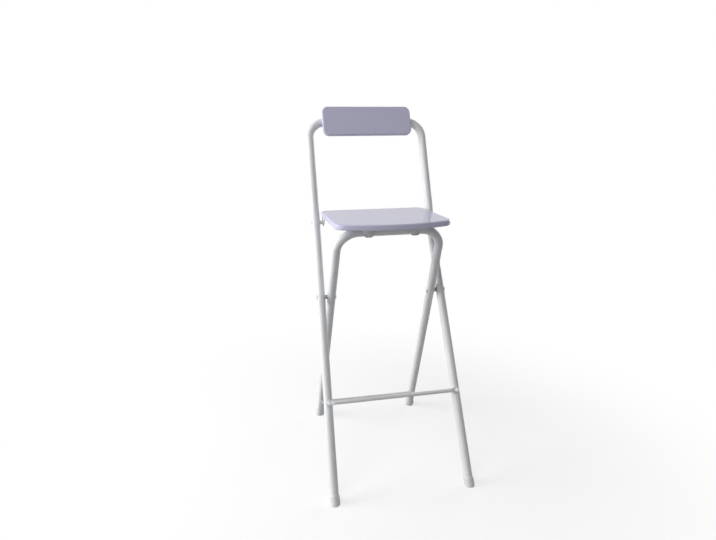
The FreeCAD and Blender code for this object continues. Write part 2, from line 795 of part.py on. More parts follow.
def screw(name, prefix, length, placement, rivet=False):
    """A round-headed screw, or a rivet that has a head at both ends; its own origin is under the
    first head and its shank points down -Z."""
    tip = Z_AXIS * -length
    head = dome(name + "_head", prefix, FreeCAD.Placement())
    shank_place = FreeCAD.Placement(tip, FreeCAD.Rotation())
    shank = cylinder(name + "_shank", f"Sizes.{prefix}_radius", str(length), shank_place)
    pieces = [head, shank]
    if rivet:
        pieces.append(dome(name + "_tail", prefix, FreeCAD.Placement(tip, FreeCAD.Rotation(X_AXIS, 180))))
    pin = group(name, pieces, "Part::MultiFuse")
    pin.Placement = placement
    return pin


def spacer(name, outer, inner, start, end, place):
    """A ring between two planes across X."""
    length = str(end - start)
    ring = cylinder(name + "_ring", outer, length, FreeCAD.Placement())
    bore = cylinder(name + "_bore", inner, length, FreeCAD.Placement())
    thing = cut(name, ring, bore)
    thing.Placement = facing(X_AXIS, FreeCAD.Vector(start, place.y, place.z))
    return thing


def both_sides(label, right):
    left = mirrored(label + "_left", right)
    return name_node(group(label + "_pair", [right, left]), label)


def rivets(label, prefix, head, tail):
    """A pair of rivets; the right one's heads sit at the two points."""
    along = unit(head - tail)
    rivet = screw(label + "_right", prefix, (head - tail).Length, facing(along, head), rivet=True)
    both_sides(label, rivet)


def at_pivot(x):
    return FreeCAD.Vector(x, pivot_y, size("pivot_height"))


def at_hinge(x):
    return FreeCAD.Vector(x, hinge_point.y, hinge_height)


def frame_pivot():
    """Rivets of the scissor pivot and the washers between the tubes."""
    outer = front_leg(size("pivot_height"))
    inner = rear_leg(size("pivot_height"))
    head_radius = size("pivot_rivet_head_radius")
    head = outer.x + tube_radius + size("seat_gap") + splay(front_leg) * head_radius
    tail = inner.x - tube_radius - size("moving_gap") - splay(rear_leg) * head_radius
    rivets("frame_pivot_rivets", "pivot_rivet", at_pivot(head), at_pivot(tail))
    ring_radius = size("pivot_washer_radius")
    start = inner.x + tube_radius + size("moving_gap") + splay(rear_leg) * ring_radius
    end = outer.x - tube_radius - size("seat_gap") - splay(front_leg) * ring_radius
    ring = spacer("pivot_washer", "Sizes.pivot_washer_radius", hole_for("pivot_rivet"), start, end, outer)
    both_sides("frame_pivot_washers", ring)


def seat_hinge():
    """Rivets and spacers of the seat's rear hinge."""
    head = hinge_point.x + tube_radius + size("seat_gap")
    tail = bracket_x - size("bracket_plate") - size("moving_gap")
    rivets("seat_hinge_rivets", "hinge_rivet", at_hinge(head), at_hinge(tail))
    start = bracket_x + size("moving_gap")
    end = hinge_point.x - tube_radius - size("seat_gap")
    bore = hole_for("hinge_rivet")
    ring = spacer("hinge_spacer", "Sizes.hinge_spacer_radius", bore, start, end, hinge_point)
    both_sides("seat_hinge_spacers", ring)


def bar_rivets(label, point_at, height, lean):
    """Rivets through the bar's ends and the legs."""
    leg = point_at(height)
    ahead = forward_of(lean)
    head = leg + ahead * (tube_radius + 2 * size("seat_gap") + size("bar_tab_thickness"))
    tail = leg - ahead * (tube_radius + size("seat_gap"))
    rivets(label, "bar_rivet", head, tail)


def backrest_fasteners():
    """Screws from behind the top bar into inserts in the board."""
    ahead = forward_of(size("back_angle"))
    place = top_bar + X_AXIS * backrest_screw_x
    head = place - ahead * (tube_radius + size("seat_gap"))
    shank = 2 * (tube_radius + size("seat_gap")) + size("insert_length") - size("insert_spare")
    both_sides("backrest_screws", screw("backrest_screw", "backrest_screw", shank, facing(-ahead, head)))
    outer = cylinder("insert_skin", "Sizes.insert_radius", "Sizes.insert_length", FreeCAD.Placement())
    bore = cylinder("insert_bore", hole_for("backrest_screw"), "Sizes.insert_length", FreeCAD.Placement())
    insert = cut("backrest_insert", outer, bore)
    insert.Placement = facing(ahead, place + ahead * (tube_radius + size("seat_gap")))
    both_sides("backrest_inserts", insert)


def wood_screws(label, places, plate):
    """Screws up through a plate on the seat's underside."""
    screws = []
    for index, (x, y) in enumerate(places, start=1):
        base = FreeCAD.Vector(x, hinge_point.y + y, seat_underside - size(plate) - size("seat_gap"))
        length = size("wood_screw_length")
        screws.append(screw(f"{label}_{index}", "wood_screw", length, facing(-Z_AXIS, base)))
    name_node(group(label + "_set", screws), label)


outer_frame()
inner_frame()
for side, word in ((1, "right"), (-1, "left")):
    foot(f"front_foot_{word}", front_leg, side)
    foot(f"rear_foot_{word}", rear_leg, side)
    seat_bracket(side, f"seat_bracket_{word}")
    seat_hook(side, f"seat_hook_{word}")
seat_board()
backrest_board()
flattened_bar("footrest_bar", front_leg, size("footrest_height"), size("front_leg_angle"))
flattened_bar("rear_stretcher", rear_leg, size("stretcher_height"), -size("rear_leg_angle"))
frame_pivot()
seat_hinge()
bar_rivets("footrest_rivets", front_leg, size("footrest_height"), size("front_leg_angle"))
bar_rivets("stretcher_rivets", rear_leg, size("stretcher_height"), -size("rear_leg_angle"))
backrest_fasteners()
wood_screws("seat_bracket_screws", bracket_screw_places(), "bracket_plate")
wood_screws("seat_hook_screws", hook_screw_places(), "hook_pad")
doc.recompute()

for thing in doc.Objects:
    if "Invalid" in thing.State or "Error" in thing.State:
        raise RuntimeError(f"{thing.Label} failed: {thing.State}")
for node in nodes:
    if node.Shape.isNull() or not node.Shape.isValid():
        raise RuntimeError(f"{node.Label} has no valid shape")

os.makedirs("parts", exist_ok=True)
for node in nodes:
    node.Shape.exportStep(f"parts/{node.Label}.step")
    print(f"{node.Label}: {len(node.Shape.Solids)} solids, {node.Shape.Volume:.0f} mm3")
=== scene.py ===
import json
import math

import bmesh
import bpy
from mathutils import Matrix, Vector


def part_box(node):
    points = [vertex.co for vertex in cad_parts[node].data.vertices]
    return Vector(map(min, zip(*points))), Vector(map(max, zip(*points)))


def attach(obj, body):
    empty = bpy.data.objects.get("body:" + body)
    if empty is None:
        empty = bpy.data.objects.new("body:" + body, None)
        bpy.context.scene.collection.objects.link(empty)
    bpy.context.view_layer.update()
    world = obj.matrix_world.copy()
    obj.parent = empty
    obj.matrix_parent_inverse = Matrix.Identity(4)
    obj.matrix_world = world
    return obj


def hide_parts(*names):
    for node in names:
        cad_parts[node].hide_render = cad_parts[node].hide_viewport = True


# A folding bar stool: white bent tubes, glossy lilac boards, plastic feet and hooks.
# Metres and radians. The stool faces -Y and is symmetric about X = 0.

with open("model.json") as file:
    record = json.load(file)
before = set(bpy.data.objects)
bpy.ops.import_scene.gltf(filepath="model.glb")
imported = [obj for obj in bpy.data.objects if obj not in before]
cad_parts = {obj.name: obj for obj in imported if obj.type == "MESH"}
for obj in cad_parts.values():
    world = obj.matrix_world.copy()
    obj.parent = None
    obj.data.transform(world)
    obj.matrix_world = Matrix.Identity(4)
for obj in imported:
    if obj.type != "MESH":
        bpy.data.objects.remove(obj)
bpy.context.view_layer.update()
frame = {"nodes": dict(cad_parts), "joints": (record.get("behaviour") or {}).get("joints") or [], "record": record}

MM = 0.001
X_AXIS = Vector((1, 0, 0))
Z_AXIS = Vector((0, 0, 1))
BACK_FRAME = "back_frame"
REAR_LEGS = "rear_legs"
SEAT = "seat"
SIDES = ((1, "right"), (-1, "left"))

# Lays a prism along X, with its outline in Y and Z
ALONG_X = Matrix(((0, 0, 1), (1, 0, 0), (0, 1, 0)))

# Parts that rest on each other keep this gap
CONTACT_GAP = 0.1 * MM

# Points closer than this are one point
WELD = 1e-7
CAD_WELD = 1e-6
NEAR_ZERO = 1e-9

# Faces that meet at more than these degrees stay sharp
SHARP = 30
FOOT_SHARP = 25
SCREW_SHARP = 35
RIM_SHARP = 40
BOARD_SHARP = 60

# Tubes
TUBE_RADIUS = 11 * MM
FRONT_LEAN = math.radians(26.5)
BACK_LEAN = math.radians(21.2)
REAR_LEAN = math.radians(25.5)
FRONT_FOOT_SPREAD = 347 * MM
BACK_SPREAD = 322 * MM
BACK_BEND_HEIGHT = 604 * MM
BACK_BEND_RADIUS = 250 * MM
BACK_TOP_HEIGHT = 900.5 * MM
BACK_CORNER_RADIUS = 45 * MM
REAR_FOOT_SPREAD = 298 * MM
CROSSBAR_SPREAD = 262 * MM
CROSSBAR_HEIGHT = 638.5 * MM
CROSSBAR_CORNER_RADIUS = 55 * MM
FOOT_SOLE = 8 * MM
LEG_SAMPLE_HEIGHT = 0.1
TUBE_SIDES = 64
BEND_STEPS = 24
LONGEST_RUN = 40 * MM

# Boards
SEAT_BOW = 34 * MM
SEAT_FRONT_CORNER = 36 * MM
SEAT_REAR_CORNER = 20 * MM
SEAT_ROUND = 3.4 * MM
BACKREST_CORNER = 17 * MM
BACKREST_WIDTH = 250 * MM
BACKREST_HEIGHT = 82 * MM
BACKREST_THICKNESS = 12 * MM
BACKREST_DROP = 4 * MM
BACKREST_ROUND = 3 * MM
SEAT_CORNER_STEPS = 16
SEAT_BOW_STEPS = 40
BACKREST_CORNER_STEPS = 14
RIM_STEPS = 10

# Bars between the legs
FOOTREST_HEIGHT = 212 * MM
STRETCHER_HEIGHT = 68 * MM
BAR_RADIUS = 5 * MM
TAB_HEIGHT = 14.5 * MM
TAB_THICKNESS = 2.5 * MM
TAB_LENGTH = 12 * MM
TAB_ROUND = 6 * MM
TAPER_LENGTH = 9 * MM
BAR_SIDES = 64
TAPER_STEPS = 14
TAB_END_STEPS = 8

# Powers of a bar's cross section: 2 is round, and higher ones are flatter
ROUND_POWER = 2
FLAT_POWER = 3.2

# Feet, with (radius, height) pairs in millimetres up the leg from the floor
FOOT_PROFILE = (
    (0, -8), (13.15, -8), (12.78, 16.4), (12.42, 16.7), (12.38, 17.2), (12.62, 17.6), (12.7, 18.1),
    (12.45, 18.7), (11.95, 19), (11.15, 19), (11.1, 8), (0, 8),
)
FOOT_SIDES = 64
TREAD_SPACING = 4.2 * MM
TREAD_DEPTH = 0.8 * MM
TREAD_WIDTH = 1.3 * MM
TREAD_COUNT = 5
CUTTER_REACH = 40 * MM

# Hooks under the seat
HOOK_WIDTH = 24 * MM
HOOK_SPACING = 116 * MM
HOOK_JAW = 5 * MM
HOOK_FLANGE = 15 * MM
HOOK_GAP = 0.3 * MM
HOOK_TONGUE_CORNER = 8 * MM
HOOK_FLANGE_CORNER = 4 * MM
HOOK_RIB = 5 * MM
HOOK_RIB_REACH = 3 * MM
HOOK_RIB_ROOT = 1.5 * MM
HOOK_RIB_RISE = 0.4 * MM
HOOK_RIB_SLANT = 0.2 * MM
HOOK_RIB_NOSE = 0.6 * MM
HOOK_BEVEL = 0.6 * MM
HOOK_RIB_BEVEL = 0.4 * MM
HOOK_SADDLE_STEPS = 18
HOOK_TONGUE_STEPS = 12
HOOK_PLAN_STEPS = 8

# Rivets
RIVET_HEAD_HEIGHT = 1.2 * MM
PIVOT_RIVET_RADIUS = 4 * MM
PIVOT_HEAD_RADIUS = 6.5 * MM
HINGE_RIVET_RADIUS = 3 * MM
HINGE_HEAD_RADIUS = 5 * MM
BAR_RIVET_RADIUS = 2.5 * MM
BAR_HEAD_RADIUS = 4.5 * MM
RIVET_FOOT_SHARE = 0.97
RIVET_LIP_SHARE = 0.15
RIVET_DOME_RISE = 1.6
RIVET_DOME_POWER = 0.62
RIVET_DOME_STEPS = 9

# Rings round the rivets
RING_EASE = 0.35 * MM
RING_SIDES = 64
PIVOT_WASHER_RADIUS = 5.5 * MM
PIVOT_WASHER_BORE = 4.05 * MM
HINGE_SPACER_RADIUS = 5 * MM
HINGE_SPACER_BORE = 3.05 * MM

# Screws
HEAD_SIDES = 48
SHANK_SIDES = 40
SHANK_EASE = 0.4 * MM
HEAD_SINK = 0.2 * MM
SCREW_FOOT_SHARE = 0.93
SCREW_LIP_SHARE = 0.12
SCREW_RIM_SHARE = 0.28
SCREW_DOME_STEPS = 10
RECESS_WIDTH_SHARE = 0.22
RECESS_FLOOR_SHARE = 0.4
BACKREST_SCREW_X = 80 * MM
BACKREST_SCREW_RADIUS = 2.5 * MM
BACKREST_SCREW_BITE = 7 * MM
BACKREST_HEAD_RADIUS = 5 * MM
BACKREST_HEAD_HEIGHT = 2.2 * MM
BACKREST_RECESS = 2.6 * MM
WOOD_SCREW_RADIUS = 1.9 * MM
WOOD_HEAD_RADIUS = 4 * MM
WOOD_HEAD_HEIGHT = 1.6 * MM
WOOD_RECESS = 2.1 * MM

# Stage
FLOOR_REACH = 12.0
FLOOR_SEEN = 0.98
FLOOR_BOUNCE = 0.43
FLOOR_ROUGHNESS = 0.9
FLOOR_GLOW = 0.62
FADE_START = 0.35
FADE_END = 1.1
LEFT_LEVEL = 0.42
RIGHT_LEVEL = 0.09
WORLD_COLOR = (1.0, 0.99, 0.975, 1)
LAMP_AIM = Vector((0, 0, 0.5))

# Camera, with its focal length in pixels of the photograph's width
CAMERA_PLACE = Vector((-0.343, -1.351, 0.869))
CAMERA_YAW = math.radians(11.61)
CAMERA_PITCH = math.radians(14.06)
CAMERA_ROLL = math.radians(-0.53)
FOCAL_PIXELS = 543.3
PHOTO_WIDTH = 716
SENSOR_WIDTH = 36.0
CLIP_START = 0.05
CLIP_END = 60

joints = {joint["name"]: Vector(joint["pos_m"]) for joint in frame["joints"]}
pivot = joints["leg_fold"]
hinge = joints["seat_fold"]


# Centre lines of the tubes

def blend(start, end, share):
    return start + (end - start) * share


def front_leg(height, side=1):
    spread = blend(FRONT_FOOT_SPREAD, BACK_SPREAD, height / BACK_BEND_HEIGHT)
    y = pivot.y + (height - pivot.z) * math.tan(FRONT_LEAN)
    return Vector((side * spread / 2, y, height))


def back_post(height, side=1):
    y = front_leg(BACK_BEND_HEIGHT).y + (height - BACK_BEND_HEIGHT) * math.tan(BACK_LEAN)
    return Vector((side * BACK_SPREAD / 2, y, height))


def rear_leg(height, side=1):
    spread = blend(REAR_FOOT_SPREAD, CROSSBAR_SPREAD, height / CROSSBAR_HEIGHT)
    y = pivot.y - (height - pivot.z) * math.tan(REAR_LEAN)
    return Vector((side * spread / 2, y, height))


def forward_of(lean):
    return Vector((0, -math.cos(lean), math.sin(lean)))


def up_along(lean):
    return Vector((0, math.sin(lean), math.cos(lean)))


def leg_up(point_at, side):
    """Direction up a straight leg, from two of its points."""
    return (point_at(LEG_SAMPLE_HEIGHT, side) - point_at(0, side)).normalized()


# Mesh building

def new_object(name, mesh):
    thing = bpy.data.objects.new(name, mesh)
    bpy.context.scene.collection.objects.link(thing)
    return thing


def from_geometry(name, points, faces, sharp=SHARP):
    """A mesh object with smooth shading, sharp where faces meet at more than the given degrees."""
    mesh = bpy.data.meshes.new(name)
    mesh.from_pydata([tuple(point) for point in points], [], faces)
    tidy = bmesh.new()
    tidy.from_mesh(mesh)
    bmesh.ops.remove_doubles(tidy, verts=tidy.verts, dist=WELD)
    bmesh.ops.recalc_face_normals(tidy, faces=tidy.faces)
    tidy.to_mesh(mesh)
    tidy.free()
    mesh.shade_smooth()
    mesh.set_sharp_from_angle(angle=math.radians(sharp))
    return new_object(name, mesh)


def placed(piece, matrix):
    piece.data.transform(matrix)
    if matrix.determinant() < 0:
        piece.data.flip_normals()
    return piece


def facing(direction, base):
    """Matrix that turns local +Z to the direction and moves the origin to the base."""
    return Matrix.Translation(base) @ direction.to_track_quat("Z", "Y").to_matrix().to_4x4()


def axes(x_axis, y_axis, z_axis, base):
    turn = Matrix((x_axis, y_axis, z_axis)).transposed().to_4x4()
    return Matrix.Translation(base) @ turn


def baked(piece, sharp):
    """The piece with its modifiers applied."""
    graph = bpy.context.evaluated_depsgraph_get()
    mesh = bpy.data.meshes.new_from_object(piece.evaluated_get(graph))
    piece.modifiers.clear()
    piece.data = mesh
    mesh.shade_smooth()
    mesh.set_sharp_from_angle(angle=math.radians(sharp))
    return piece


def combined(piece, others, operation, sharp):
    """The piece after one boolean with each of the others, which are removed."""
    for other in others:
        boolean = piece.modifiers.new("boolean", "BOOLEAN")
        boolean.operation = operation
        boolean.solver = "EXACT"
        boolean.object = other
    baked(piece, sharp)
    for other in others:
        bpy.data.objects.remove(other)
    return piece


def bevelled(piece, width, segments):
    """The piece with its sharp edges rounded."""
    bevel = piece.modifiers.new("bevel", "BEVEL")
    bevel.width = width
    bevel.segments = segments
    bevel.limit_method = "ANGLE"
    bevel.angle_limit = math.radians(SHARP)
    bevel.harden_normals = False
    baked(piece, RIM_SHARP)
    return weighted(piece, RIM_SHARP)


def weighted(piece, sharp):
    """The piece with normals that keep its large faces flat."""
    weigh = piece.modifiers.new("weigh", "WEIGHTED_NORMAL")
    weigh.keep_sharp = True
    return baked(piece, sharp)


def joined(name, pieces):
    """One object made of several meshes."""
    whole = bmesh.new()
    for piece in pieces:
        whole.from_mesh(piece.data)
    mesh = bpy.data.meshes.new(name)
    whole.to_mesh(mesh)
    whole.free()
    for piece in pieces:
        bpy.data.objects.remove(piece)
    mesh.shade_smooth()
    mesh.set_sharp_from_angle(angle=math.radians(SHARP))
    return new_object(name, mesh)


def copy_of(piece, name, matrix):
    twin = new_object(name, piece.data.copy())
    return placed(twin, matrix)


def lathe(name, profile, segments, sharp):
    """A solid turned about local Z from (radius, height) pairs; a zero radius closes an end."""
    points, rings, faces = [], [], []
    for radius, height in profile:
        if radius < NEAR_ZERO:
            rings.append([len(points)] * segments)
            points.append(Vector((0, 0, height)))
            continue
        rings.append(list(range(len(points), len(points) + segments)))
        for index in range(segments):
            angle = 2 * math.pi * index / segments
            points.append(Vector((radius * math.cos(angle), radius * math.sin(angle), height)))
    for low, high in zip(rings, rings[1:]):
        for index in range(segments):
            after = (index + 1) % segments
            corners = [low[index], low[after], high[after], high[index]]
            faces.append(list(dict.fromkeys(corners)))
    return from_geometry(name, points, faces, sharp)


def arc_points(start, corner, end, radius, steps):
    """Points of the tangent arc of a radius that rounds a corner between two straight runs."""
    back = (start - corner).normalized()
    ahead = (end - corner).normalized()
    half_turn = (math.pi - back.angle(ahead)) / 2
    inward = (back + ahead).normalized()
    centre = corner + inward * (radius / math.cos(half_turn))
    first = corner + back * (radius * math.tan(half_turn)) - centre
    axis = back.cross(ahead).normalized()
    turns = [-2 * half_turn * step / steps for step in range(steps + 1)]
    return [centre + Matrix.Rotation(turn, 3, axis) @ first for turn in turns]


def rounded_path(corners, radii):
    """A path through the corners whose inner corners are rounded."""
    path = [corners[0]]
    for index, radius in enumerate(radii, start=1):
        path += arc_points(*corners[index - 1:index + 2], radius, BEND_STEPS)
    path.append(corners[-1])
    return path


def ring_faces(rings, count):
    """Side faces and both ends of a solid whose points run ring by ring."""
    faces = []
    for ring in range(rings - 1):
        low, high = ring * count, (ring + 1) * count
        for step in range(count):
            after = (step + 1) % count
            faces.append([low + step, low + after, high + after, high + step])
    last = (rings - 1) * count
    return faces + [list(range(count)), list(range(last, last + count))]


def sweep(name, path, radius):
    """A round tube along a path, with closed ends."""
    points = []
    across = X_AXIS
    for index, point in enumerate(path):
        before = path[max(index - 1, 0)]
        after = path[min(index + 1, len(path) - 1)]
        along = (after - before).normalized()
        across = (across - along * across.dot(along)).normalized()
        third = along.cross(across)
        for step in range(TUBE_SIDES):
            angle = 2 * math.pi * step / TUBE_SIDES
            points.append(point + (across * math.cos(angle) + third * math.sin(angle)) * radius)
    return from_geometry(name, points, ring_faces(len(path), TUBE_SIDES))


def subdivided(path, longest):
    """The path with its long runs divided evenly."""
    result = [path[0]]
    for start, end in zip(path, path[1:]):
        count = max(1, math.ceil((end - start).length / longest))
        result += [blend(start, end, step / count) for step in range(1, count + 1)]
    return result


def prism(name, outline, low, high, turn):
    """A prism between two heights over an outline, turned into place by a matrix."""
    points = [turn @ Vector((x, y, z)) for z in (low, high) for x, y in outline]
    return from_geometry(name, points, ring_faces(2, len(outline)))


def box_piece(name, low, high):
    xs, ys, zs = (low.x, high.x), (low.y, high.y), (low.z, high.z)
    points = [Vector((x, y, z)) for x in xs for y in ys for z in zs]
    faces = [[0, 1, 3, 2], [4, 6, 7, 5], [0, 4, 5, 1], [2, 3, 7, 6], [0, 2, 6, 4], [1, 5, 7, 3]]
    return from_geometry(name, points, faces)


def arc_2d(centre, radius, first, last, steps):
    """Points on an arc in the plane, from the first to the last angle in degrees."""
    result = []
    for step in range(steps + 1):
        angle = math.radians(blend(first, last, step / steps))
        result.append((centre[0] + radius * math.cos(angle), centre[1] + radius * math.sin(angle)))
    return result


def rounded_rectangle(half, low, high, corner, steps):
    """A rectangle from -half to half and from low to high with round corners, counter-clockwise."""
    points = []
    centres = ((half, high), (-half, high), (-half, low), (half, low))
    for quarter, (x, y) in enumerate(centres):
        centre = (x - math.copysign(corner, x), y - corner if y == high else y + corner)
        points += arc_2d(centre, corner, 90 * quarter, 90 * quarter + 90, steps)
    return points


# Frames

def tube_end(point_at, side):
    """Where a tube ends inside its foot."""
    return point_at(0, side) + leg_up(point_at, side) * FOOT_SOLE


def build_tube(name, corners, radii, body):
    path = subdivided(rounded_path(corners, radii), LONGEST_RUN)
    tube = sweep(name + "_tube", path, TUBE_RADIUS)
    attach(tube, body)
    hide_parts(name)
    finish_with(tube, "white_paint")


def build_frames():
    outer = [
        tube_end(front_leg, 1),
        back_post(BACK_BEND_HEIGHT),
        back_post(BACK_TOP_HEIGHT),
        back_post(BACK_TOP_HEIGHT, -1),
        back_post(BACK_BEND_HEIGHT, -1),
        tube_end(front_leg, -1),
    ]
    radii = [BACK_BEND_RADIUS, BACK_CORNER_RADIUS, BACK_CORNER_RADIUS, BACK_BEND_RADIUS]
    build_tube("outer_frame", outer, radii, BACK_FRAME)
    inner = [
        tube_end(rear_leg, 1),
        rear_leg(CROSSBAR_HEIGHT),
        rear_leg(CROSSBAR_HEIGHT, -1),
        tube_end(rear_leg, -1),
    ]
    build_tube("inner_frame", inner, [CROSSBAR_CORNER_RADIUS] * 2, REAR_LEGS)


# Boards

def board(name, outline, thickness, rounding):
    """A flat board between z = 0 and its thickness whose rims are rounded over."""
    count = len(outline)
    levels = []
    for step in range(RIM_STEPS + 1):
        angle = math.pi / 2 * step / RIM_STEPS
        levels.append((rounding * (1 - math.sin(angle)), rounding * (1 - math.cos(angle))))
    profile = levels + [(inset, thickness - height) for inset, height in reversed(levels)]
    normals = []
    for index in range(count):
        before, after = Vector(outline[index - 1]), Vector(outline[(index + 1) % count])
        along = (after - before).normalized()
        normals.append(Vector((-along.y, along.x)))
    points = []
    for inset, height in profile:
        for index, spot in enumerate(outline):
            moved = Vector(spot) + normals[index] * inset
            points.append(Vector((moved.x, moved.y, height)))
    piece = from_geometry(name, points, ring_faces(len(profile), count), BOARD_SHARP)
    return weighted(piece, BOARD_SHARP)


def seat_outline(half, rear, front):
    """Straight rear and sides, a bowed front and four rounded corners, counter-clockwise."""
    bow = (half * half + SEAT_BOW * SEAT_BOW) / (2 * SEAT_BOW)
    centre_y = front + bow
    inner = bow - SEAT_FRONT_CORNER
    front_x = half - SEAT_FRONT_CORNER
    front_y = centre_y - math.sqrt(inner * inner - front_x * front_x)
    touch = math.degrees(math.atan2(front_y - centre_y, front_x))
    rear_x = half - SEAT_REAR_CORNER
    rear_y = rear - SEAT_REAR_CORNER
    points = arc_2d((rear_x, rear_y), SEAT_REAR_CORNER, 0, 90, SEAT_CORNER_STEPS)
    points += arc_2d((-rear_x, rear_y), SEAT_REAR_CORNER, 90, 180, SEAT_CORNER_STEPS)
    points += arc_2d((-front_x, front_y), SEAT_FRONT_CORNER, 180, 180 - touch, SEAT_CORNER_STEPS)
    points += arc_2d((0, centre_y), bow, -180 - touch, touch, SEAT_BOW_STEPS)[1:-1]
    points += arc_2d((front_x, front_y), SEAT_FRONT_CORNER, touch, 0, SEAT_CORNER_STEPS)
    return points


def build_seat_board():
    low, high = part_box("seat_board")
    outline = seat_outline(high.x, high.y, low.y)
    piece = board("seat_panel", outline, high.z - low.z, SEAT_ROUND)
    placed(piece, Matrix.Translation(Vector((0, 0, low.z))))
    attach(piece, SEAT)
    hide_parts("seat_board")
    finish_with(piece, "lilac_board")


def build_backrest():
    half_height = BACKREST_HEIGHT / 2
    outline = rounded_rectangle(
        BACKREST_WIDTH / 2, -half_height, half_height, BACKREST_CORNER, BACKREST_CORNER_STEPS)
    piece = board("backrest_panel", outline, BACKREST_THICKNESS, BACKREST_ROUND)
    ahead = forward_of(BACK_LEAN)
    base = Vector((0, back_post(BACK_TOP_HEIGHT).y, BACK_TOP_HEIGHT))
    base += ahead * (TUBE_RADIUS + CONTACT_GAP) - up_along(BACK_LEAN) * BACKREST_DROP
    placed(piece, axes(X_AXIS, up_along(BACK_LEAN), ahead, base))
    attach(piece, BACK_FRAME)
    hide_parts("backrest_board")
    finish_with(piece, "lilac_board")


# Feet

def build_foot(name, point_at, side, body):
    """A moulded cap with a bead round its mouth, flat on the floor with a ribbed sole."""
    floor = point_at(0, side)
    profile = [(radius * MM, height * MM) for radius, height in FOOT_PROFILE]
    cap = lathe(name + "_cap", profile, FOOT_SIDES, FOOT_SHARP)
    placed(cap, facing(leg_up(point_at, side), floor))
    under = Matrix.Translation(Vector((floor.x, floor.y, 0)))
    reach = CUTTER_REACH
    ground = box_piece("ground", Vector((-reach, -reach, -reach)), Vector((reach, reach, 0)))
    cutters = [placed(ground, under)]
    for index in range(TREAD_COUNT):
        y = (index - (TREAD_COUNT - 1) / 2) * TREAD_SPACING
        low = Vector((-reach, y - TREAD_WIDTH / 2, -reach))
        high = Vector((reach, y + TREAD_WIDTH / 2, TREAD_DEPTH))
        cutters.append(placed(box_piece(f"groove_{index}", low, high), under))
    combined(cap, cutters, "DIFFERENCE", FOOT_SHARP)
    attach(cap, body)
    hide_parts(name)
    finish_with(cap, "white_plastic")


# Footrest and stretcher

def bar_ring(x, half_height, half_depth, power):
    """A closed ring square to X, from round to flattened with the power."""
    ring = []
    for step in range(BAR_SIDES):
        angle = 2 * math.pi * step / BAR_SIDES
        cosine = math.cos(angle)
        sine = math.sin(angle)
        y = half_depth * math.copysign(abs(cosine) ** (2 / power), cosine)
        z = half_height * math.copysign(abs(sine) ** (2 / power), sine)
        ring.append(Vector((x, y, z)))
    return ring


def half_bar_rings(end):
    """Rings of the bar's right half, from where its end begins to flatten to its rounded end."""
    tab_start = end - TAB_LENGTH
    taper_start = tab_start - TAPER_LENGTH
    shares = [step / TAPER_STEPS for step in range(TAPER_STEPS + 1)]
    stations = [(blend(taper_start, tab_start, share), share) for share in shares]
    stations.append((end - TAB_ROUND, 1.0))
    rings = []
    for x, share in stations:
        eased = share * share * (3 - 2 * share)
        half_height = blend(BAR_RADIUS, TAB_HEIGHT / 2, eased)
        half_depth = blend(BAR_RADIUS, TAB_THICKNESS / 2, eased)
        rings.append(bar_ring(x, half_height, half_depth, blend(ROUND_POWER, FLAT_POWER, eased)))
    for step in range(1, TAB_END_STEPS + 1):
        angle = math.pi / 2 * step / TAB_END_STEPS
        x = end - TAB_ROUND + TAB_ROUND * math.sin(angle)
        shrink = 1 - TAB_ROUND * (1 - math.cos(angle)) / (TAB_HEIGHT / 2)
        rings.append(bar_ring(x, TAB_HEIGHT / 2 * shrink, TAB_THICKNESS / 2, FLAT_POWER))
    return rings


def build_bar(name, node, point_at, height, lean, body):
    """A straight bar whose ends are pressed flat and lap on the front of the legs."""
    leg = point_at(height)
    rings = half_bar_rings(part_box(node)[1].x)
    mirror = [[Vector((-spot.x, spot.y, spot.z)) for spot in ring] for ring in reversed(rings)]
    rings = mirror + rings
    points = [point for ring in rings for point in ring]
    bar = from_geometry(name, points, ring_faces(len(rings), BAR_SIDES), RIM_SHARP)
    ahead = forward_of(lean)
    base = Vector((0, leg.y, leg.z)) + ahead * (TUBE_RADIUS + CONTACT_GAP + TAB_THICKNESS / 2)
    placed(bar, axes(X_AXIS, -ahead, up_along(lean), base))
    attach(bar, body)
    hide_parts(node)
    finish_with(bar, "white_paint")


# Fasteners

def screw_head(radius, height, recess):
    """A domed head with a cross recess; the seat is at z = 0."""
    rim = SCREW_RIM_SHARE * height
    profile = [(0, -HEAD_SINK), (radius * SCREW_FOOT_SHARE, 0)]
    profile += [(radius, SCREW_LIP_SHARE * height), (radius, rim)]
    for step in range(1, SCREW_DOME_STEPS + 1):
        angle = math.pi / 2 * step / SCREW_DOME_STEPS
        profile.append((radius * math.cos(angle), rim + (height - rim) * math.sin(angle)))
    profile[-1] = (0, height)
    head = lathe("head", profile, HEAD_SIDES, SCREW_SHARP)
    cutters = []
    slot = recess * RECESS_WIDTH_SHARE
    for x_half, y_half in ((recess, slot), (slot, recess)):
        low = Vector((-x_half, -y_half, height * RECESS_FLOOR_SHARE))
        high = Vector((x_half, y_half, height * 2))
        cutters.append(box_piece("recess", low, high))
    return combined(head, cutters, "DIFFERENCE", SCREW_SHARP)


def both_sides(piece, node, slot, body, name):
    """The piece and its mirror image as one, in place of the node's pair."""
    twin = copy_of(piece, "twin", Matrix.Scale(-1, 4, X_AXIS))
    whole = joined(name, [piece, twin])
    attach(whole, body)
    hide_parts(node)
    finish_with(whole, slot)


def washer_ring(outer, inner, length):
    """A turned ring from z = 0 to its length with eased rims."""
    ease = RING_EASE
    profile = [
        (inner, ease), (inner + ease, 0), (outer - ease, 0), (outer, ease), (outer, length - ease),
        (outer - ease, length), (inner + ease, length), (inner, length - ease), (inner, ease),
    ]
    return lathe("ring", profile, RING_SIDES, RIM_SHARP)


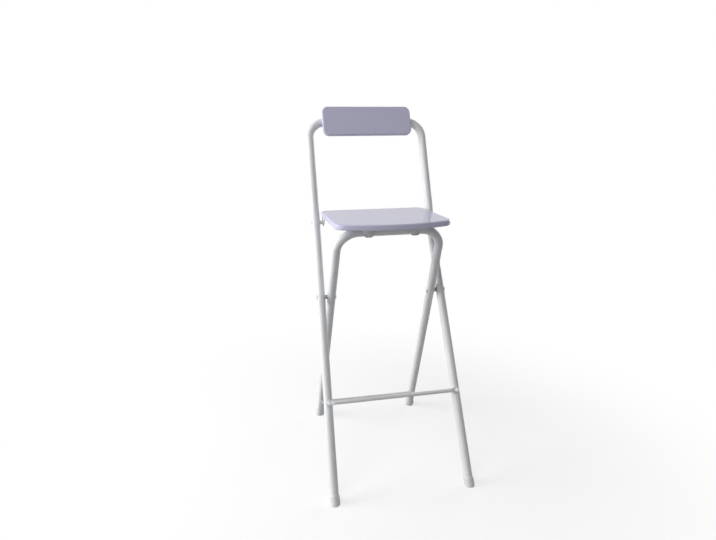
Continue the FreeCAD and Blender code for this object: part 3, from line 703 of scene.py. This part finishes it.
def shank(radius, length):
    """A screw's shank, down -Z from z = 0."""
    ease = SHANK_EASE
    profile = [(0, 0), (radius, 0), (radius, ease - length), (radius - ease, -length), (0, -length)]
    return lathe("pin", profile, SHANK_SIDES, SHARP)


def span_x(node):
    """The right-hand piece of a mirrored pair lies between these distances from the middle."""
    inside = min(abs(vertex.co.x) for vertex in frame["nodes"][node].data.vertices)
    return inside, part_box(node)[1].x


def rivet(radius, head_radius, length):
    """A rivet whose first head sits at z = 0 and whose shank points down -Z."""
    lip = RIVET_LIP_SHARE * RIVET_HEAD_HEIGHT
    profile = [(0, -HEAD_SINK), (radius, 0), (head_radius * RIVET_FOOT_SHARE, 0), (head_radius, lip)]
    for step in range(1, RIVET_DOME_STEPS):
        share = step / RIVET_DOME_STEPS
        reach = head_radius * (1 - share ** RIVET_DOME_RISE) ** RIVET_DOME_POWER
        profile.append((reach, blend(lip, RIVET_HEAD_HEIGHT, share)))
    profile.append((0, RIVET_HEAD_HEIGHT))
    first = lathe("head", profile, HEAD_SIDES, RIM_SHARP)
    turned = Matrix.Rotation(math.pi, 4, "X")
    second = copy_of(first, "tail", Matrix.Translation(Z_AXIS * -length) @ turned)
    core = [(0, -length), (radius, -length), (radius, 0), (0, 0)]
    shaft = lathe("shaft", core, SHANK_SIDES, SHARP)
    return joined("pin", [first, second, shaft])


def build_cross_rivets(node, centre, radius, head_radius):
    """Rivets across X at both sides, from the outer tube to what it carries."""
    inner, outer = span_x(node)
    pin = rivet(radius, head_radius, outer - inner - 2 * RIVET_HEAD_HEIGHT)
    placed(pin, facing(X_AXIS, Vector((outer - RIVET_HEAD_HEIGHT, centre.y, centre.z))))
    both_sides(pin, node, "zinc", BACK_FRAME, node + "_pair")


def build_rings(node, centre, outer_radius, inner_radius, slot):
    start, end = span_x(node)
    ring = washer_ring(outer_radius, inner_radius, end - start)
    placed(ring, facing(X_AXIS, Vector((start, centre.y, centre.z))))
    both_sides(ring, node, slot, BACK_FRAME, node + "_pair")


def build_bar_rivets(node, point_at, height, lean, body):
    leg = point_at(height)
    ahead = forward_of(lean)
    front = leg + ahead * (TUBE_RADIUS + 2 * CONTACT_GAP + TAB_THICKNESS)
    back = leg - ahead * (TUBE_RADIUS + CONTACT_GAP)
    pin = rivet(BAR_RIVET_RADIUS, BAR_HEAD_RADIUS, (front - back).length)
    placed(pin, facing(ahead, front))
    both_sides(pin, node, "zinc", body, node + "_pair")


def build_backrest_screws():
    ahead = forward_of(BACK_LEAN)
    top = Vector((BACKREST_SCREW_X, back_post(BACK_TOP_HEIGHT).y, BACK_TOP_HEIGHT))
    head = screw_head(BACKREST_HEAD_RADIUS, BACKREST_HEAD_HEIGHT, BACKREST_RECESS)
    pin = shank(BACKREST_SCREW_RADIUS, 2 * (TUBE_RADIUS + CONTACT_GAP) + BACKREST_SCREW_BITE)
    screw = joined("screw", [head, pin])
    placed(screw, facing(-ahead, top - ahead * (TUBE_RADIUS + CONTACT_GAP)))
    both_sides(screw, "backrest_screws", "zinc", BACK_FRAME, "backrest_screw_pair")


def solids_of(node):
    """Lowest and highest corner of the box round each separate solid of a node."""
    mesh = frame["nodes"][node].data
    linked = bmesh.new()
    linked.from_mesh(mesh)
    bmesh.ops.remove_doubles(linked, verts=linked.verts, dist=CAD_WELD)
    linked.verts.ensure_lookup_table()
    seen, result = set(), []
    for start in linked.verts:
        if start.index in seen:
            continue
        stack, members = [start], []
        seen.add(start.index)
        while stack:
            vertex = stack.pop()
            members.append(vertex.co.copy())
            for edge in vertex.link_edges:
                other = edge.other_vert(vertex)
                if other.index not in seen:
                    seen.add(other.index)
                    stack.append(other)
        low = Vector(min(point[axis] for point in members) for axis in range(3))
        high = Vector(max(point[axis] for point in members) for axis in range(3))
        result.append((low, high))
    linked.free()
    return sorted(result, key=lambda pair: tuple(round(value, 5) for value in pair[0]))


def build_wood_screws(node):
    """Round-headed screws up into the seat, one for each solid of the node."""
    screws = []
    for low, high in solids_of(node):
        centre = (low + high) / 2
        head = screw_head(WOOD_HEAD_RADIUS, WOOD_HEAD_HEIGHT, WOOD_RECESS)
        pin = shank(WOOD_SCREW_RADIUS, high.z - low.z - WOOD_HEAD_HEIGHT)
        screw = joined("screw", [head, pin])
        base = Vector((centre.x, centre.y, low.z + WOOD_HEAD_HEIGHT))
        screws.append(placed(screw, facing(-Z_AXIS, base)))
    whole = joined(node + "_set", screws)
    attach(whole, SEAT)
    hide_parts(node)
    finish_with(whole, "zinc")


# Hooks over the crossbar

def tongue_outline(bottom, top):
    """The hook from the front: straight sides and a rounded lower end, as (x, z) pairs."""
    half = HOOK_WIDTH / 2
    corner = HOOK_TONGUE_CORNER
    points = [(half, top), (-half, top)]
    points += arc_2d((corner - half, bottom + corner), corner, 180, 270, HOOK_TONGUE_STEPS)
    points += arc_2d((half - corner, bottom + corner), corner, 270, 360, HOOK_TONGUE_STEPS)
    return points


def rib_outline(jaw, saddle):
    """The stiffening rib from the side, as (y, z) pairs: it slants in to the tongue's lower part."""
    reach = jaw - HOOK_RIB_REACH
    root = jaw + HOOK_RIB_ROOT
    top = saddle + HOOK_RIB_RISE
    nose = (reach + HOOK_RIB_SLANT, saddle - HOOK_RIB_NOSE)
    return [(reach, top), nose, (jaw, -TUBE_RADIUS), (root, -TUBE_RADIUS), (root, top)]


def build_hook(side, word):
    """A moulded hook: two flanges under the seat, a saddle and a tongue with a stiffening rib."""
    node = f"seat_hook_{word}"
    low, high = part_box(node)
    bar = rear_leg(CROSSBAR_HEIGHT)
    saddle = TUBE_RADIUS + HOOK_GAP
    top = high.z - bar.z
    bottom = low.z - bar.z
    jaw = -(saddle + HOOK_JAW)
    front = jaw - HOOK_FLANGE
    back = TUBE_RADIUS + HOOK_FLANGE
    half = HOOK_WIDTH / 2
    outline = [(front, top), (front, saddle), (jaw, saddle), (jaw, bottom), (-saddle, bottom)]
    outline += arc_2d((0, 0), saddle, 180, 90, HOOK_SADDLE_STEPS)
    outline += [(back, saddle), (back, top)]
    hook = prism(node + "_moulding", outline, -half, half, ALONG_X)
    upright = Matrix.Rotation(math.pi / 2, 3, "X")
    tongue = prism("tongue", tongue_outline(bottom, top + MM), -2 * back, 2 * back, upright)
    corners = rounded_rectangle(half, front, back, HOOK_FLANGE_CORNER, HOOK_PLAN_STEPS)
    plan = prism("plan", corners, bottom - MM, top + MM, Matrix.Identity(3))
    combined(hook, [tongue, plan], "INTERSECT", SHARP)
    bevelled(hook, HOOK_BEVEL, segments=3)
    rib = prism("rib", rib_outline(jaw, saddle), -HOOK_RIB / 2, HOOK_RIB / 2, ALONG_X)
    bevelled(rib, HOOK_RIB_BEVEL, segments=2)
    whole = combined(hook, [rib], "UNION", RIM_SHARP)
    placed(whole, Matrix.Translation(Vector((side * HOOK_SPACING / 2, bar.y, bar.z))))
    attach(whole, SEAT)
    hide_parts(node)
    finish_with(whole, "grey_plastic")


# Materials

class Nodes:
    """Short calls for building one material's node tree."""

    def __init__(self, name):
        self.material = bpy.data.materials.new(name)
        self.material.use_nodes = True
        self.tree = self.material.node_tree
        self.shader = self.tree.nodes["Principled BSDF"]
        self.place = self.tree.nodes.new("ShaderNodeTexCoord").outputs["Object"]

    def add(self, kind, **settings):
        node = self.tree.nodes.new(kind)
        for key, value in settings.items():
            setattr(node, key, value)
        return node

    def link(self, source, target):
        self.tree.links.new(source, target)

    def set(self, **values):
        for key, value in values.items():
            self.shader.inputs[key.replace("_", " ")].default_value = value

    def noise(self, scale, detail=3.0):
        node = self.add("ShaderNodeTexNoise")
        node.inputs["Scale"].default_value = scale
        node.inputs["Detail"].default_value = detail
        self.link(self.place, node.inputs["Vector"])
        return node.outputs["Fac"]

    def ramp(self, source, low, high, start=0.3, end=0.7):
        node = self.add("ShaderNodeMapRange", interpolation_type="SMOOTHSTEP")
        for key, value in (("From Min", start), ("From Max", end), ("To Min", low), ("To Max", high)):
            node.inputs[key].default_value = value
        self.link(source, node.inputs["Value"])
        return node.outputs["Result"]

    def color(self, factor, first, second):
        """The base colour goes from the first to the second with the factor."""
        node = self.add("ShaderNodeMix", data_type="RGBA")
        ends = [socket for socket in node.inputs if socket.type == "RGBA"]
        ends[0].default_value = (*first, 1)
        ends[1].default_value = (*second, 1)
        self.link(factor, node.inputs[0])
        result = next(socket for socket in node.outputs if socket.type == "RGBA")
        self.link(result, self.shader.inputs["Base Color"])

    def patches(self, scale, first, second):
        """The base colour wanders between two colours in soft patches."""
        self.color(self.ramp(self.noise(scale), 0, 1), first, second)

    def roughness(self, scale, low, high):
        """The roughness wanders between two values in soft patches."""
        self.link(self.ramp(self.noise(scale), low, high), self.shader.inputs["Roughness"])

    def bump(self, height, strength, distance, below=None):
        node = self.add("ShaderNodeBump")
        node.inputs["Strength"].default_value = strength
        node.inputs["Distance"].default_value = distance
        self.link(height, node.inputs["Height"])
        if below is not None:
            self.link(below, node.inputs["Normal"])
        self.link(node.outputs["Normal"], self.shader.inputs["Normal"])
        return node.outputs["Normal"]


def powder_coat():
    """White powder coat: a fine orange peel, faint cloudiness and slightly duller patches."""
    nodes = Nodes("white_powder_coat")
    nodes.patches(scale=9, first=(0.75, 0.758, 0.775), second=(0.70, 0.707, 0.723))
    nodes.roughness(scale=60, low=0.42, high=0.52)
    nodes.set(IOR=1.45)
    peel = nodes.bump(nodes.noise(scale=900, detail=2), strength=0.10, distance=0.00025)
    nodes.bump(nodes.noise(scale=180, detail=2), strength=0.06, distance=0.0006, below=peel)
    return nodes.material


def lilac_lacquer():
    """Glossy lilac lacquer over board, with a soft mottling and a slight ripple."""
    nodes = Nodes("lilac_lacquer")
    nodes.patches(scale=8, first=(0.532, 0.527, 0.690), second=(0.524, 0.519, 0.681))
    nodes.roughness(scale=12, low=0.28, high=0.31)
    nodes.set(IOR=1.33, Coat_Weight=0.2, Coat_Roughness=0.05)
    ripple = nodes.bump(nodes.noise(scale=6, detail=0), strength=0.02, distance=0.0005)
    nodes.link(ripple, nodes.shader.inputs["Coat Normal"])
    return nodes.material


def moulded(name, light, dark, roughness):
    """Moulded plastic with a fine spark-eroded grain and flow variation."""
    spread = 0.06
    nodes = Nodes(name)
    nodes.patches(scale=40, first=light, second=dark)
    nodes.roughness(scale=300, low=roughness - spread, high=roughness + spread)
    nodes.set(IOR=1.48)
    nodes.bump(nodes.noise(scale=1600, detail=2), strength=0.18, distance=0.0002)
    return nodes.material


def zinc_plate():
    """Zinc-plated steel with dull blotches and fine handling marks."""
    nodes = Nodes("zinc_plate")
    nodes.patches(scale=350, first=(0.68, 0.69, 0.70), second=(0.60, 0.61, 0.62))
    nodes.roughness(scale=700, low=0.34, high=0.48)
    nodes.set(Metallic=1.0)
    nodes.bump(nodes.noise(scale=2600, detail=2), strength=0.12, distance=0.0001)
    return nodes.material


def turned_brass():
    """Brass of the hidden inserts, with a slight tarnish."""
    nodes = Nodes("turned_brass")
    nodes.patches(scale=300, first=(0.72, 0.56, 0.30), second=(0.62, 0.47, 0.24))
    nodes.roughness(scale=600, low=0.25, high=0.40)
    nodes.set(Metallic=1.0)
    return nodes.material


MATERIALS = {
    "white_paint": powder_coat(),
    "lilac_board": lilac_lacquer(),
    "white_plastic": moulded("white_plastic", (0.74, 0.75, 0.76), (0.68, 0.69, 0.70), 0.42),
    "grey_plastic": moulded("grey_plastic", (0.70, 0.70, 0.69), (0.64, 0.64, 0.63), 0.48),
    "dark_plastic": moulded("dark_plastic", (0.36, 0.36, 0.37), (0.31, 0.31, 0.32), 0.45),
    "zinc": zinc_plate(),
    "brass": turned_brass(),
}


def finish_with(piece, slot):
    piece.data.materials.clear()
    piece.data.materials.append(MATERIALS[slot])


def finish_cad_nodes():
    """Gives every CAD node the material of its slot in the record."""
    slots = {row["node"]: row["material_slot"] for row in frame["record"]["subparts"]}
    for node, thing in frame["nodes"].items():
        for holder in thing.material_slots:
            holder.material = MATERIALS[slots[node]]


# Stage

def seen_ray(tree):
    """1 for camera, glossy and transmission rays, which show the white surround."""
    path = tree.nodes.new("ShaderNodeLightPath")
    total = path.outputs["Is Camera Ray"]
    for kind in ("Is Glossy Ray", "Is Transmission Ray"):
        larger = tree.nodes.new("ShaderNodeMath")
        larger.operation = "MAXIMUM"
        tree.links.new(total, larger.inputs[0])
        tree.links.new(path.outputs[kind], larger.inputs[1])
        total = larger.outputs[0]
    return total


def build_floor():
    """A pale floor that keeps the stool's shadow and fades into the white surround."""
    signs = ((-1, -1), (1, -1), (1, 1), (-1, 1))
    corners = [Vector((x * FLOOR_REACH, y * FLOOR_REACH, 0)) for x, y in signs]
    floor = from_geometry("floor", corners, [[0, 1, 2, 3]])
    nodes = Nodes("floor_white")
    seen = seen_ray(nodes.tree)
    nodes.color(seen, (FLOOR_BOUNCE,) * 3, (FLOOR_SEEN,) * 3)
    nodes.set(Roughness=FLOOR_ROUGHNESS)
    glow = nodes.add("ShaderNodeEmission")
    distance = nodes.add("ShaderNodeVectorMath", operation="LENGTH")
    nodes.link(nodes.place, distance.inputs[0])
    fade = nodes.ramp(distance.outputs["Value"], FLOOR_GLOW, 1, FADE_START, FADE_END)
    factor = nodes.add("ShaderNodeMath", operation="MULTIPLY")
    nodes.link(fade, factor.inputs[0])
    nodes.link(seen, factor.inputs[1])
    mix = nodes.add("ShaderNodeMixShader")
    nodes.link(factor.outputs[0], mix.inputs[0])
    nodes.link(nodes.shader.outputs[0], mix.inputs[1])
    nodes.link(glow.outputs[0], mix.inputs[2])
    output = next(node for node in nodes.tree.nodes if node.type == "OUTPUT_MATERIAL")
    nodes.link(mix.outputs[0], output.inputs["Surface"])
    floor.data.materials.append(nodes.material)


def build_world():
    """Plain soft light, and white where the surround is seen or mirrored."""
    world = bpy.data.worlds.new("studio")
    bpy.context.scene.world = world
    world.use_nodes = True
    tree = world.node_tree
    light = tree.nodes["Background"]
    light.inputs["Color"].default_value = WORLD_COLOR
    direction = tree.nodes.new("ShaderNodeSeparateXYZ")
    tree.links.new(tree.nodes.new("ShaderNodeTexCoord").outputs["Generated"], direction.inputs[0])
    level = tree.nodes.new("ShaderNodeMapRange")
    limits = (("From Min", -1), ("From Max", 1), ("To Min", LEFT_LEVEL), ("To Max", RIGHT_LEVEL))
    for key, value in limits:
        level.inputs[key].default_value = value
    tree.links.new(direction.outputs["X"], level.inputs["Value"])
    tree.links.new(level.outputs["Result"], light.inputs["Strength"])
    white = tree.nodes.new("ShaderNodeBackground")
    white.inputs["Color"].default_value = (1, 1, 1, 1)
    white.inputs["Strength"].default_value = 1.0
    mix = tree.nodes.new("ShaderNodeMixShader")
    tree.links.new(seen_ray(tree), mix.inputs[0])
    tree.links.new(light.outputs[0], mix.inputs[1])
    tree.links.new(white.outputs[0], mix.inputs[2])
    output = next(node for node in tree.nodes if node.type == "OUTPUT_WORLD")
    tree.links.new(mix.outputs[0], output.inputs["Surface"])


def area_light(name, place, width, height, power, color):
    """A rectangular lamp that faces the middle of the stool."""
    data = bpy.data.lights.new(name, "AREA")
    data.shape = "RECTANGLE"
    data.size = width
    data.size_y = height
    data.energy = power
    data.color = color
    lamp = bpy.data.objects.new(name, data)
    bpy.context.scene.collection.objects.link(lamp)
    lamp.location = place
    lamp.rotation_mode = "QUATERNION"
    lamp.rotation_quaternion = (LAMP_AIM - Vector(place)).to_track_quat("-Z", "Y")


def build_lights():
    """A window at the left, a softbox above the front left and one low behind the right."""
    area_light(
        "window", place=(-2.8, 0.45, 1.3), width=1.8, height=1.8, power=82,
        color=(0.97, 0.985, 1.0))
    area_light(
        "ceiling", place=(-1.5, -1.5, 2.9), width=2.0, height=1.8, power=36,
        color=(1.0, 0.985, 0.96))
    area_light(
        "back", place=(2.3, 1.7, 0.9), width=1.6, height=1.2, power=28,
        color=(1.0, 1.0, 1.0))


def build_camera():
    """The photograph's viewpoint, from the stool's front left and a little above the seat."""
    yaw, pitch, roll = CAMERA_YAW, CAMERA_PITCH, CAMERA_ROLL
    level = math.cos(pitch)
    look = Vector((math.sin(yaw) * level, math.cos(yaw) * level, -math.sin(pitch)))
    level_right = Vector((math.cos(yaw), -math.sin(yaw), 0))
    level_up = level_right.cross(look)
    right = level_right * math.cos(roll) + level_up * math.sin(roll)
    up = level_up * math.cos(roll) - level_right * math.sin(roll)
    data = bpy.data.cameras.new("camera")
    data.sensor_width = SENSOR_WIDTH
    data.lens = FOCAL_PIXELS / PHOTO_WIDTH * SENSOR_WIDTH
    data.clip_start = CLIP_START
    data.clip_end = CLIP_END
    camera = bpy.data.objects.new("camera", data)
    bpy.context.scene.collection.objects.link(camera)
    camera.matrix_world = axes(right, up, -look, CAMERA_PLACE)
    bpy.context.scene.camera = camera


build_frames()
build_seat_board()
build_backrest()
for side, word in SIDES:
    build_foot(f"front_foot_{word}", front_leg, side, BACK_FRAME)
    build_foot(f"rear_foot_{word}", rear_leg, side, REAR_LEGS)
    build_hook(side, word)
build_bar("footrest", "footrest_bar", front_leg, FOOTREST_HEIGHT, FRONT_LEAN, BACK_FRAME)
build_bar("stretcher", "rear_stretcher", rear_leg, STRETCHER_HEIGHT, -REAR_LEAN, REAR_LEGS)
build_cross_rivets("frame_pivot_rivets", pivot, PIVOT_RIVET_RADIUS, PIVOT_HEAD_RADIUS)
build_cross_rivets("seat_hinge_rivets", hinge, HINGE_RIVET_RADIUS, HINGE_HEAD_RADIUS)
build_rings("frame_pivot_washers", pivot, PIVOT_WASHER_RADIUS, PIVOT_WASHER_BORE, "dark_plastic")
build_rings("seat_hinge_spacers", hinge, HINGE_SPACER_RADIUS, HINGE_SPACER_BORE, "white_plastic")
build_bar_rivets("footrest_rivets", front_leg, FOOTREST_HEIGHT, FRONT_LEAN, BACK_FRAME)
build_bar_rivets("stretcher_rivets", rear_leg, STRETCHER_HEIGHT, -REAR_LEAN, REAR_LEGS)
build_backrest_screws()
build_wood_screws("seat_bracket_screws")
build_wood_screws("seat_hook_screws")
finish_cad_nodes()
build_floor()
build_world()
build_lights()
build_camera()
bpy.context.scene.view_settings.view_transform = "Standard"
